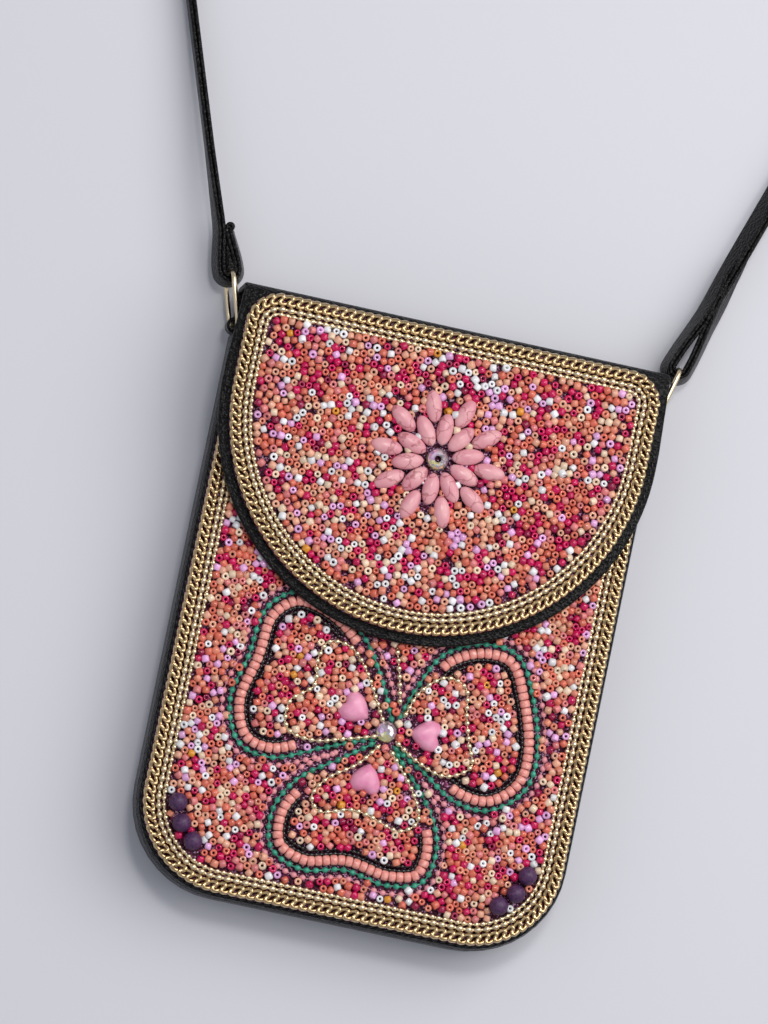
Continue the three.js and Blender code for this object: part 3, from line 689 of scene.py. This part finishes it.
# Room on the front: inside its chains, from a little under the flap, clear of rows and stones
UNDER_FLAP = 8
ROW_ROOM = [(GREEN_RUNS, 1.4), (PINK_RUNS, 1.35), (CORAL_RUNS, 2.2), (BLACK_RUNS, 1.7)]
FINE_GOLD_ROOM = 1.5
CRYSTAL_ROOM = 4.3
CORNER_BEAD_ROOM = 3.5
FRONT_SEED_SPACING = 2.44
HEART_ROOM = [
    dict(forward=-2.4, beside=0, reach=2.7), dict(forward=0.2, beside=0, reach=4.6),
    dict(forward=1.4, beside=2.2, reach=3.7), dict(forward=1.4, beside=-2.2, reach=3.7)]
past_side = np.clip(np.abs(CELL_X) - CORNER_X, 0, None)
past_bottom = np.clip(LOW_CORNER_Y - CELL_Y, 0, None)
corner_depth = np.hypot(past_side, past_bottom)
front_open = corner_depth < CORNER_RADIUS - FRONT_RIM - CHAINS_WIDTH
front_open &= (np.hypot(CELL_X, CELL_Y - FLAP_ARC_Y) > HALF_FLAP - UNDER_FLAP) & (CELL_Y < FLAP_ARC_Y)
for runs, reach in ROW_ROOM:
    for run in runs.values():
        block(front_open, run[::2], reach)
for run in GOLD_RUNS:
    block(front_open, run[::2], FINE_GOLD_ROOM)
block(front_open, [SHAMROCK], CRYSTAL_ROOM)
block(front_open, [spot for _, spot, _ in corner_places()], CORNER_BEAD_ROOM)
for leaf in LEAVES.values():
    ahead = polar(1, leaf["turn"])
    aside = np.array((-ahead[1], ahead[0]))
    middle = np.array(leaf["heart"])
    for room in HEART_ROOM:
        spot = middle + room["forward"] * ahead + room["beside"] * aside
        block(front_open, [spot], room["reach"])
seed_beads("front_seed_beads", front_open, 23, FRONT_CLOTH_TOP, FRONT_SEED_SPACING)


# Ways to shape a piece by hand, with steps of a rounding and creases in degrees
EDGE_STEPS = 3
WIRE_STEPS = 2
LEATHER_CREASE = 35
ROUND_CREASE = 50


def drawn(name, points):
    bpy.ops.object.select_all(action="DESELECT")
    bpy.ops.mesh.primitive_plane_add(size=MM)
    piece = bpy.context.object
    piece.name = name
    bpy.ops.object.mode_set(mode="EDIT")
    bpy.ops.mesh.select_all(action="SELECT")
    bpy.ops.mesh.merge(type="CENTER")
    points = [Vector(p) * MM for p in points]
    bpy.ops.transform.translate(value=points[0])
    for a, b in zip(points, points[1:]):
        bpy.ops.mesh.extrude_region_move(TRANSFORM_OT_translate={"value": b - a})
    bpy.ops.mesh.select_all(action="SELECT")
    return piece


def spun(name, profile, steps, axis):
    piece = drawn(name, profile)
    bpy.ops.mesh.spin(steps=steps, angle=math.tau, center=(0, 0, 0), axis=axis)
    bpy.ops.mesh.select_all(action="SELECT")
    bpy.ops.mesh.remove_doubles(threshold=1e-6)
    bpy.ops.mesh.normals_make_consistent(inside=False)
    return piece


def copied(model, name, turn, spot):
    bpy.ops.object.select_all(action="DESELECT")
    model.select_set(True)
    bpy.context.view_layer.objects.active = model
    bpy.ops.object.duplicate()
    piece = bpy.context.object
    piece.name = name
    bpy.ops.object.mode_set(mode="EDIT")
    bpy.ops.mesh.select_all(action="SELECT")
    bpy.ops.transform.rotate(value=-math.radians(turn), orient_axis="Z", center_override=(0, 0, 0))
    bpy.ops.transform.translate(value=Vector(spot) * MM)
    bpy.ops.object.mode_set(mode="OBJECT")
    return piece


def rounded(piece, width, angle):
    bpy.ops.object.modifier_add(type="BEVEL")
    edge = piece.modifiers[-1]
    edge.width = width * MM
    edge.segments = EDGE_STEPS
    edge.limit_method = "ANGLE"
    edge.angle_limit = math.radians(angle)
    bpy.ops.object.modifier_apply(modifier=edge.name)
    bpy.ops.object.shade_smooth_by_angle(angle=math.radians(LEATHER_CREASE))


def plate(name, outline, low, thickness):
    piece = drawn(name, [(x, y, low) for x, y in outline])
    bpy.ops.mesh.edge_face_add()
    bpy.ops.mesh.extrude_region_move(TRANSFORM_OT_translate={"value": (0, 0, thickness * MM)})
    bpy.ops.mesh.select_all(action="SELECT")
    bpy.ops.mesh.normals_make_consistent(inside=False)
    return piece


def swept(name, points, depth, stretch=0.0, cyclic=False, tips=(), sizes=()):
    drawn(name, points)
    if cyclic:
        bpy.ops.mesh.edge_face_add()
        bpy.ops.mesh.delete(type="ONLY_FACE")
    bpy.ops.object.mode_set(mode="OBJECT")
    bpy.ops.object.convert(target="CURVE")
    run = bpy.context.object.data
    run.dimensions = "3D"
    run.twist_mode = "Z_UP"
    run.bevel_depth = depth * MM
    run.extrude = stretch * MM
    run.bevel_resolution = WIRE_STEPS
    run.use_fill_caps = not cyclic
    for point, tip in zip(run.splines[0].points, tips):
        point.tilt = tip
    for point, size in zip(run.splines[0].points, sizes):
        point.radius = size
    bpy.ops.object.convert(target="MESH")
    bpy.ops.object.mode_set(mode="EDIT")
    bpy.ops.mesh.select_all(action="SELECT")
    bpy.ops.mesh.remove_doubles(threshold=1e-7)
    bpy.ops.mesh.normals_make_consistent(inside=False)
    bpy.ops.object.mode_set(mode="OBJECT")
    bpy.ops.object.shade_smooth_by_angle(angle=math.radians(ROUND_CREASE))
    return bpy.context.object


# Leather of the pouch, with rounded edges
for name, top, low in (("back", BACK_TOP, 0), ("front", FRONT_TOP, POUCH_DEPTH - PANEL_THICKNESS)):
    panel = plate(f"{name}_leather", panel_run(0, top, 20), low, PANEL_THICKNESS)
    bpy.ops.object.mode_set(mode="OBJECT")
    rounded(panel, PANEL_EDGE, PANEL_EDGE_ANGLE)
    finished(panel, LEATHER, "black_leather", f"{name}_panel")


# Leather of the flap: its top edge is drawn out and bent twice, down to the back
JUST_BELOW = 0.01


def pick_top_edge(piece):
    bpy.ops.mesh.select_all(action="DESELECT")
    bpy.ops.object.mode_set(mode="OBJECT")
    for face in piece.data.polygons:
        face.select = face.center.y > (FOLD_Y - JUST_BELOW) * MM
    bpy.ops.object.mode_set(mode="EDIT")
    bpy.ops.mesh.select_mode(type="FACE")


def bent_over(z):
    middle = (0, FOLD_Y * MM, z * MM)
    for _ in range(FOLD_STEPS):
        bpy.ops.mesh.extrude_region_move(TRANSFORM_OT_translate={"value": (0, 0, 0)})
        bpy.ops.transform.rotate(value=math.pi / 2 / FOLD_STEPS, orient_axis="X", center_override=middle)


flap_edge = [(-HALF_FLAP, FLAP_SHOULDER_Y), *arc(0, FLAP_ARC_Y, HALF_FLAP, 180, 360, 64),
             (HALF_FLAP, FLAP_SHOULDER_Y)]
flap_outline = [(-FOLD_HALF, FOLD_Y), *flap_edge, (FOLD_HALF, FOLD_Y)]
flap = plate("flap_leather", flap_outline, FLAP_UNDER, FLAP_LEATHER)
pick_top_edge(flap)
bent_over(FLAP_FACE - FOLD_RADIUS)
down = (0, 0, (2 * FOLD_RADIUS - FLAP_FACE) * MM)
bpy.ops.mesh.extrude_region_move(TRANSFORM_OT_translate={"value": down})
bent_over(FOLD_RADIUS)
along_back = (0, (FLAP_BACK_END - FOLD_Y) * MM, 0)
bpy.ops.mesh.extrude_region_move(TRANSFORM_OT_translate={"value": along_back})
bpy.ops.mesh.select_all(action="SELECT")
bpy.ops.mesh.normals_make_consistent(inside=False)
bpy.ops.mesh.select_mode(type="VERT")
bpy.ops.object.mode_set(mode="OBJECT")
rounded(flap, FLAP_EDGE, FLAP_EDGE_ANGLE)
finished(flap, LEATHER, "black_leather", "flap")

# Seams: short stitches of thread sunk into the leather, each a little askew
STITCH_PITCH = 2.6
STITCH_SKEW = 0.25
FLAP_SEAM_INSET = 1.5
FLAP_SEAM_LIFT = 0.05
FRONT_SEAM_INSET = 0.85
FRONT_SEAM_TOP = 60

# A stitch's places along the thread, each with its radius
stitch_profile = [(-0.95, 0.06), (-0.75, 0.22), (0, 0.27), (0.75, 0.22), (0.95, 0.06)]
stitch_shape = turned_shape(stitch_profile, 6)


def stitches(points, height):
    spots, heading, _ = spaced(points, STITCH_PITCH)
    return placed(stitch_shape, about_z(heading + STITCH_SKEW), level(spots, height))


flap_seam = inset_run(np.array(flap_edge), FLAP_SEAM_INSET)
joined("flap_seam", [stitches(flap_seam, FLAP_FACE + FLAP_SEAM_LIFT)], THREAD, "black_leather")
front_seam = panel_run(FRONT_SEAM_INSET, FRONT_SEAM_TOP)
joined("front_seam", [stitches(front_seam, POUCH_DEPTH)], THREAD, "black_leather")

# Flower: marquise stones, one turned on its long axis and flattened, then copied
petal_profile = []
for t in np.linspace(-1, 1, PETAL_STEPS):
    petal_profile.append((t * PETAL_LENGTH / 2, 0, (1 - t * t) ** PETAL_FULLNESS * PETAL_WIDTH / 2))
petal = spun("petal_model", petal_profile, STONE_SIDES, (1, 0, 0))
bpy.ops.transform.resize(value=(1, 1, PETAL_HEIGHT / PETAL_WIDTH), center_override=(0, 0, 0))
bpy.ops.object.mode_set(mode="OBJECT")
bpy.ops.object.shade_smooth()
for node, radius, turn in petal_places():
    spot = np.array(FLOWER) + polar(radius, turn)
    stone = copied(petal, f"stone_{node}", turn, (*spot, FLAP_SEAT + PETAL_HEIGHT / 2))
    finished(stone, HOWLITE, "pink_howlite", node)
bpy.data.objects.remove(petal)

# Cut crystals: a turned profile with flat facets, whose tints change round the stone: painted reflection of
# the coat, lilac towards -x and yellow towards -y, with darker and lighter facets among them
FACET_REFLECTION_TINTS = ["#C8BCC4", "#A89CA8", "#D8D0D8", "#E4C8EC", "#D4B0E0", "#F4EFC0", "#E6DC9C", "#D0D4E6"]
TINT_STRAY = 0.7


def cut_stone(name, profile, steps, spot, seed, node):
    stone = spun(name, [(r, 0, z) for r, z in profile], steps, (0, 0, 1))
    bpy.ops.mesh.quads_convert_to_tris()
    bpy.ops.mesh.select_all(action="SELECT")
    bpy.ops.transform.translate(value=Vector(spot) * MM)
    bpy.ops.object.mode_set(mode="OBJECT")

    def facet_place(face):
        around = math.atan2(face.center.y - spot[1] * MM, face.center.x - spot[0] * MM) / math.tau
        return round(face.center.z / MM, 2), around

    # Facets in order of height and direction, because a spin can leave them in any order
    chance = np.random.default_rng(seed)
    # Each facet's tint is painted reflection of the iridescent coat, picked by the facet's direction round
    # the stone
    layer = stone.data.color_attributes.new("tint", "FLOAT_COLOR", "CORNER")
    for face in sorted(stone.data.polygons, key=facet_place):
        _, around = facet_place(face)
        pick = round(len(FACET_REFLECTION_TINTS) * around + chance.normal(0, TINT_STRAY)) % len(FACET_REFLECTION_TINTS)
        colour = linear(FACET_REFLECTION_TINTS[pick])
        for corner in face.loop_indices:
            layer.data[corner].color = colour
    finished(stone, CRYSTAL, "crystal", node)


# Each cut's radii with their heights
ring_cut = [(1.1, 0), (3.1, 0), (3.6, 1.2), (3.2, 2.0), (2.3, 2.8), (1.5, 2.8), (1.1, 2.5), (1.1, 0)]
cut_stone("flower_cut_stone", ring_cut, 14, (*FLOWER, FLAP_SEAT), 3, "flower_crystal")
round_cut = [(0, 0), (2.8, 0), (3.5, 1.2), (3.2, 1.9), (2.2, 2.7), (1.1, 3.0), (0, 3.0)]
cut_stone("leaf_cut_stone", round_cut, 12, (*SHAMROCK, FRONT_SEAT), 5, "leaf_crystal")


# Hearts: puffed stones, one built up in layers from a heart outline, then copied
def heart_outline():
    # Curves of one half, as shares of the half width and of the length
    flank = [(0, -0.53), (-0.34, -0.44), (-1, -0.14), (-1, 0.2)]
    lobe = [(-1, 0.2), (-1, 0.5), (-0.34, 0.58), (0, 0.38)]
    points = []
    for span in (flank, lobe):
        a, b, c, d = np.array(span) * (HEART_HALF_WIDTH, HEART_LENGTH)
        for t in np.linspace(0, 1, HEART_CURVE_STEPS + 1)[:-1]:
            s = 1 - t
            points.append(a * s**3 + 3 * b * t * s**2 + 3 * c * t * t * s + d * t**3)
    notch = (0, lobe[-1][1] * HEART_LENGTH)
    other = [(-x, y) for x, y in points[1:]]
    return [*points, notch, *other[::-1]]


heart = drawn("heart_model", [(HEART_FOOT * x, HEART_FOOT * y, 0) for x, y in heart_outline()])
bpy.ops.mesh.edge_face_add()
height, scale = 0.0, HEART_FOOT
for z, wide in HEART_LAYERS:
    bpy.ops.mesh.extrude_region_move(TRANSFORM_OT_translate={"value": (0, 0, (z - height) * MM)})
    bpy.ops.transform.resize(value=(wide / scale, wide / scale, 1), center_override=(0, 0, 0))
    height, scale = z, wide
bpy.ops.mesh.poke()
for _ in range(HEART_SMOOTH_RINGS):
    bpy.ops.mesh.select_more()
bpy.ops.mesh.vertices_smooth(**HEART_SMOOTHING, zaxis=False)
bpy.ops.mesh.select_all(action="SELECT")
bpy.ops.mesh.normals_make_consistent(inside=False)
bpy.ops.object.mode_set(mode="OBJECT")
bpy.ops.object.shade_smooth()
for name, leaf in LEAVES.items():
    stone = copied(heart, f"heart_stone_{name}", leaf["turn"] - 90, (*leaf["heart"], FRONT_SEAT))
    finished(stone, HEART, "heart_stone", f"leaf_heart_{name}")
bpy.data.objects.remove(heart)

# Round violet beads in the lower corners: one drilled bead, copied along the string
bore_turn = math.asin(BEAD_BORE / CORNER_BEAD)
bead_profile = []
for turn in np.linspace(bore_turn, math.pi - bore_turn, BEAD_CURVE_STEPS + 1):
    bead_profile.append((-CORNER_BEAD * math.cos(turn), 0, CORNER_BEAD * math.sin(turn)))
bead = spun("bead_model", [*bead_profile, bead_profile[0]], STONE_SIDES, (1, 0, 0))
bpy.ops.object.mode_set(mode="OBJECT")
bpy.ops.object.shade_smooth_by_angle(angle=math.radians(ROUND_CREASE))
for node, spot, turn in corner_places():
    stone = copied(bead, f"violet_{node}", turn, (*spot, FRONT_SEAT + CORNER_BEAD))
    finished(stone, VIOLET, "purple_bead", node)
bpy.data.objects.remove(bead)


# Wire rings
def ring_run(end):
    half_length, half_width, corner = RING["length"] / 2, RING["width"] / 2, RING["corner"]
    flat = []
    for sx, sy, start in ((1, 1, 0), (-1, 1, 90), (-1, -1, 180), (1, -1, 270)):
        middle = (sx * (half_width - corner), sy * (half_length - corner))
        flat.extend(arc(*middle, corner, start, start + 90, 6))
    lean = math.radians(end["ring_lean"])
    middle = Vector((end["side"] * (RING_FOOT[0] + math.sin(lean) * half_length),
                     RING_FOOT[1] + math.cos(lean) * half_length, RING["z"]))
    turn = Matrix.Rotation(math.radians(end["ring_turn"]), 3, "Y")
    turn = Matrix.Rotation(-end["side"] * lean, 3, "Z") @ turn
    return [middle + turn @ Vector((0, y, x)) for x, y in flat]


for end in STRAP_ENDS:
    ring = swept(f"wire_ring_{end['name']}", ring_run(end), RING["wire"] / 2, cyclic=True)
    finished(ring, CHAMPAGNE, "pale_gold", f"ring_{end['name']}")


# Strap: two plies of leather on edge, folded round the rings and tipped over where they lie
def strap_height(tip):
    turn = math.radians(abs(tip))
    return STRAP["width"] / 2 * math.cos(turn) + STRAP["thick"] / 2 * math.sin(turn)


def ease(value, low, high):
    t = min(max((value - low) / (high - low), 0), 1)
    return t * t * (3 - 2 * t)


def strap_way(end):
    along = polar(1, 90 - end["side"] * end["lean"])
    fold = polar(RING["length"], 90 - end["side"] * end["ring_lean"])
    fold = fold + (end["side"] * RING_FOOT[0], RING_FOOT[1])
    fold = fold + along * (end["fold"] - (STRAP["thick"] + RING["wire"]) / 2 - RING["play"])
    return fold, along


def strap_spot(end, a, c):
    fold, along = strap_way(end)
    across = np.array((along[1], -along[0]))
    share = ease(a, STRAP["tip_from"], STRAP["tip_to"])
    tip = end["loop_tip"] + (end["tip"] - end["loop_tip"]) * share
    lifted = 1 - ease(a, 0, STRAP["lower"])
    z = strap_height(tip) + (RING["z"] - strap_height(tip)) * lifted
    return (*(fold + along * a + across * c), z, tip)


def strap_swell(end, a):
    part = min(a / end["closing"], 1)
    return STRAP["spacing"] + (end["fold"] - STRAP["spacing"]) * (1 + math.cos(math.pi * part)) / 2


def strap_end(end):
    points = []
    for a in np.linspace(0, end["sewn"], 11)[:0:-1]:
        tucked = end["tuck"] * ease(a, TUCK_FROM, TUCK_TO)
        points.append(strap_spot(end, a, strap_swell(end, a) - tucked))
    for x, y in arc(0, 0, end["fold"], 0, -180, 14):
        points.append(strap_spot(end, y, x))
    for a in np.linspace(0, end["tail"], 11)[1:]:
        points.append(strap_spot(end, a, -strap_swell(end, a)))
    for a in np.linspace(end["tail"], STRAP["lower"], 9)[1:]:
        points.append(strap_spot(end, a, -STRAP["spacing"]))
    return points


def strap_loop(left, right):
    left_start, right_start = (np.array(strap_spot(end, 0, -STRAP["spacing"])[:2]) for end in (left, right))
    left_along, right_along = (strap_way(end)[1] for end in (left, right))
    half = math.radians((left["lean"] + right["lean"]) / 2)
    gap = right_start - left_start
    apex = gap[0] * right_along[1] - gap[1] * right_along[0]
    apex /= left_along[0] * right_along[1] - left_along[1] * right_along[0]
    meeting = left_start + left_along * apex
    below = np.hypot(*(meeting - left_start)) + np.hypot(*(meeting - right_start))
    radius = (STRAP["length"] + below) / (2 / math.tan(half) + math.pi + 2 * half)
    middle = (left_along + right_along) / np.hypot(*(left_along + right_along))
    centre = meeting + middle * radius / math.sin(half)
    rows = arc(*centre, radius, 180 + left["lean"], -right["lean"], 56)
    tips = np.linspace(left["tip"], right["tip"], len(rows))
    return [(x, y, strap_height(tip), tip) for (x, y), tip in zip(rows, tips)]


left, right = STRAP_ENDS
stations = np.array([*strap_end(left), *strap_loop(left, right), *strap_end(right)[::-1]])
tips = [math.radians(-tip) for tip in stations[:, 3]]
sizes = [1.0] * (len(stations) - len(TAIL_TAPER)) + TAIL_TAPER
leathers = []
for shift in PLY_SHIFTS:
    ply = np.column_stack((inset_run(stations[:, :2], shift), stations[:, 2]))
    leathers.append(swept("strap_leather", ply, PLY_HALF_THICK, PLY_HALF_WIDTH, tips=tips, sizes=sizes))

# Lining inside the left fold, and the curled end of its tail
lining = []
for a in np.linspace(LINING["start"], LINING["end"], 8):
    lining.append(strap_spot(left, a, LINING["across"])[:3])
sizes = np.linspace(LINING["widest"], LINING["narrowest"], len(lining))
leathers.append(swept("strap_lining", lining, LINING["half_thick"], LINING["half_width"], sizes=sizes))
curl = []
for x, y in arc(CURL["x"], CURL["y"], CURL["radius"], CURL["start"], CURL["end"], 14):
    curl.append(strap_spot(left, left["sewn"] + y, STRAP["spacing"] + x)[:3])
leathers.append(swept("strap_curl", curl, CURL["half_thick"], PLY_HALF_WIDTH))
bpy.ops.object.select_all(action="DESELECT")
for leather in leathers:
    leather.select_set(True)
bpy.context.view_layer.objects.active = leathers[0]
bpy.ops.object.join()
strap = bpy.context.object
strap.name = "strap_leather"
finished(strap, LEATHER, "black_leather", "strap")

# Looks of the pieces that keep their solid shape
LOOKS = {"black_leather": LEATHER, "glitter_cloth": CLOTH, "pale_gold": GOLD, "green_chain": GREEN,
         "coral_bead": CORAL, "heart_stone": HEART, "pink_howlite": HOWLITE, "purple_bead": VIOLET,
         "crystal": CRYSTAL}
for row in frame["record"]["subparts"]:
    node = frame["nodes"][row["node"]]
    node.data.materials.clear()
    node.data.materials.append(LOOKS[row["material_slot"]])

# Floor, just under the bag, in metres
FLOOR_SIZE = 8
FLOOR_GAP = 0.0001
bpy.ops.object.select_all(action="DESELECT")
bpy.ops.mesh.primitive_plane_add(size=FLOOR_SIZE, location=(0, 0, -FLOOR_GAP))
floor = bpy.context.object
floor.name = "backdrop"
floor.data.materials.append(PAPER)

# Camera: far off, nearly above the bag, and rolled so that the bag leans in the picture
VIEW_FROM = (-0.105, -0.087, 1)
VIEW_ROLL = 11.774
VIEW_MIDDLE = (-10.18, 34.84, 11.5)
VIEW_DISTANCE = 2.5
VIEW_HEIGHT = 0.3253
VIEW_END = 20
SENSOR = 36
view_from = Vector(VIEW_FROM).normalized()
roll = math.radians(VIEW_ROLL)
upward = Vector((-math.sin(roll), math.cos(roll), 0))
upward = (upward - view_from * upward.dot(view_from)).normalized()
rightward = upward.cross(view_from)
bpy.ops.object.camera_add()
camera = bpy.context.object
camera.matrix_world = Matrix((rightward, upward, view_from)).transposed().to_4x4()
camera.location = Vector(VIEW_MIDDLE) * MM + view_from * VIEW_DISTANCE
camera.data.sensor_fit = "VERTICAL"
camera.data.sensor_height = SENSOR
camera.data.lens = SENSOR * VIEW_DISTANCE / VIEW_HEIGHT
camera.data.clip_end = VIEW_END
bpy.context.scene.camera = camera

# Soft lights, in metres and watts: a large window, a small one for glints, a weak fill and an even sky
SKY_COLOUR = "#E8E8EC"
SKY_STRENGTH = 0.4
LIGHTS = [
    dict(name="window", right=0.9, up=0.35, high=1.15, away=1.1, size=1.1, power=9.4, colour="#FFFAF4"),
    dict(name="spark", right=0.1, up=0.5, high=1.5, away=1.5, size=0.2, power=4.0, colour="#FFFAF4"),
    dict(name="fill", right=-0.8, up=-0.1, high=1.2, away=1.6, size=1.1, power=2, colour="#EEF1FF"),
]
for row in LIGHTS:
    direction = rightward * row["right"] + upward * row["up"] + Vector((0, 0, row["high"]))
    aim = direction.normalized()
    bpy.ops.object.light_add(type="AREA", location=aim * row["away"])
    light = bpy.context.object
    light.name = row["name"]
    light.rotation_euler = aim.to_track_quat("Z", "Y").to_euler()
    light.data.size = row["size"]
    light.data.energy = row["power"]
    light.data.color = linear(row["colour"])[:3]
world = bpy.data.worlds.new("studio")
bpy.context.scene.world = world
world.use_nodes = True
sky = world.node_tree.nodes["Background"].inputs
sky["Color"].default_value = linear(SKY_COLOUR)
sky["Strength"].default_value = SKY_STRENGTH
bpy.context.scene.view_settings.view_transform = "Standard"
